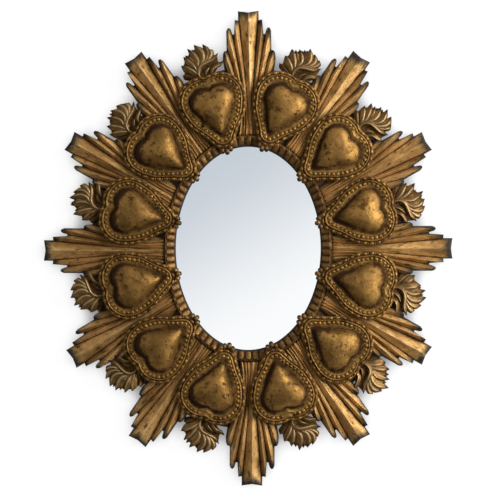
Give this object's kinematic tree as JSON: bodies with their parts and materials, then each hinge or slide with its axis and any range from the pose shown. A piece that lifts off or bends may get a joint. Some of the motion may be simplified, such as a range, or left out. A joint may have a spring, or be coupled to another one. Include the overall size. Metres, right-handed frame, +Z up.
{
  "type": "oval wall mirror",
  "caption": "Oval wall mirror in a carved gilt sunburst frame of sacred hearts with flames and stepped ray bundles, with turn buttons and strap hangers behind.",
  "frame": {"origin": "middle of the oval glass, in the plane of the wall behind it", "axes": "+Z up, +X to the right of someone facing the mirror, +Y into the wall"},
  "size_m": [0.6561, 0.0579, 0.7624],
  "materials": {
    "gilt_heart": "antique gilding, satin, dark in the hollows",
    "gilt_flame": "antique gilding, satin, blackened tips",
    "gilt_ray": "antique gilding, satin, blackened ends",
    "gilt_rim": "antique gilding, reddish, worn",
    "carcase_wood": "dark stained board",
    "mirror": "polished",
    "backing_board": "hardboard",
    "screw_steel": "zinc plated",
    "hanger_steel": "nickel plated",
    "button_brass": "dull brass",
    "bumper_rubber": "matt"
  },
  "bodies": {
    "mirror_body": {"carcase_ring": "carcase_wood", "rim_moulding": "gilt_rim", "mirror_glass": "mirror", "backing_board": "backing_board", "ray_bundle_01": "gilt_ray", "ray_bundle_02": "gilt_ray", "ray_bundle_03": "gilt_ray", "ray_bundle_04": "gilt_ray", "ray_bundle_05": "gilt_ray", "ray_bundle_06": "gilt_ray", "ray_bundle_07": "gilt_ray", "ray_bundle_08": "gilt_ray", "ray_bundle_09": "gilt_ray", "ray_bundle_10": "gilt_ray", "ray_bundle_11": "gilt_ray", "ray_bundle_12": "gilt_ray", "heart_01": "gilt_heart", "heart_02": "gilt_heart", "heart_03": "gilt_heart", "heart_04": "gilt_heart", "heart_05": "gilt_heart", "heart_06": "gilt_heart", "heart_07": "gilt_heart", "heart_08": "gilt_heart", "heart_09": "gilt_heart", "heart_10": "gilt_heart", "heart_11": "gilt_heart", "heart_12": "gilt_heart", "flame_01": "gilt_flame", "flame_02": "gilt_flame", "flame_03": "gilt_flame", "flame_04": "gilt_flame", "flame_05": "gilt_flame", "flame_06": "gilt_flame", "flame_07": "gilt_flame", "flame_08": "gilt_flame", "flame_09": "gilt_flame", "flame_10": "gilt_flame", "flame_11": "gilt_flame", "flame_12": "gilt_flame", "heart_screws": "screw_steel", "ray_screws": "screw_steel", "turn_button_screws": "screw_steel", "hanger_strap_left": "hanger_steel", "hanger_strap_right": "hanger_steel", "hanger_screws": "screw_steel", "wall_bumpers": "bumper_rubber"},
    "turn_button_1": {"turn_button_1": "button_brass"},
    "turn_button_2": {"turn_button_2": "button_brass"},
    "turn_button_3": {"turn_button_3": "button_brass"},
    "turn_button_4": {"turn_button_4": "button_brass"},
    "turn_button_5": {"turn_button_5": "button_brass"},
    "turn_button_6": {"turn_button_6": "button_brass"},
    "hanger_ring_left": {"hanger_ring_left": "hanger_steel"},
    "hanger_ring_right": {"hanger_ring_right": "hanger_steel"}
  },
  "joints": [
    {"name": "turn_button_1_turn", "type": "hinge", "parent": "mirror_body", "child": "turn_button_1", "pos_m": [0.12498, -0.005, 0.07216], "axis": [0, 1, 0], "continuous": true},
    {"name": "turn_button_2_turn", "type": "hinge", "parent": "mirror_body", "child": "turn_button_2", "pos_m": [0, -0.005, 0.183], "axis": [0, 1, 0], "continuous": true},
    {"name": "turn_button_3_turn", "type": "hinge", "parent": "mirror_body", "child": "turn_button_3", "pos_m": [-0.12498, -0.005, 0.07216], "axis": [0, 1, 0], "continuous": true},
    {"name": "turn_button_4_turn", "type": "hinge", "parent": "mirror_body", "child": "turn_button_4", "pos_m": [-0.12498, -0.005, -0.07216], "axis": [0, 1, 0], "continuous": true},
    {"name": "turn_button_5_turn", "type": "hinge", "parent": "mirror_body", "child": "turn_button_5", "pos_m": [0, -0.005, -0.183], "axis": [0, 1, 0], "continuous": true},
    {"name": "turn_button_6_turn", "type": "hinge", "parent": "mirror_body", "child": "turn_button_6", "pos_m": [0.12498, -0.005, -0.07216], "axis": [0, 1, 0], "continuous": true},
    {"name": "left_ring_swing", "type": "hinge", "parent": "mirror_body", "child": "hanger_ring_left", "pos_m": [-0.085, -0.00325, 0.19], "axis": [-1, 0, 0], "range_deg": [0, 176]},
    {"name": "right_ring_swing", "type": "hinge", "parent": "mirror_body", "child": "hanger_ring_right", "pos_m": [0.085, -0.00325, 0.19], "axis": [-1, 0, 0], "range_deg": [0, 176]}
  ]
}
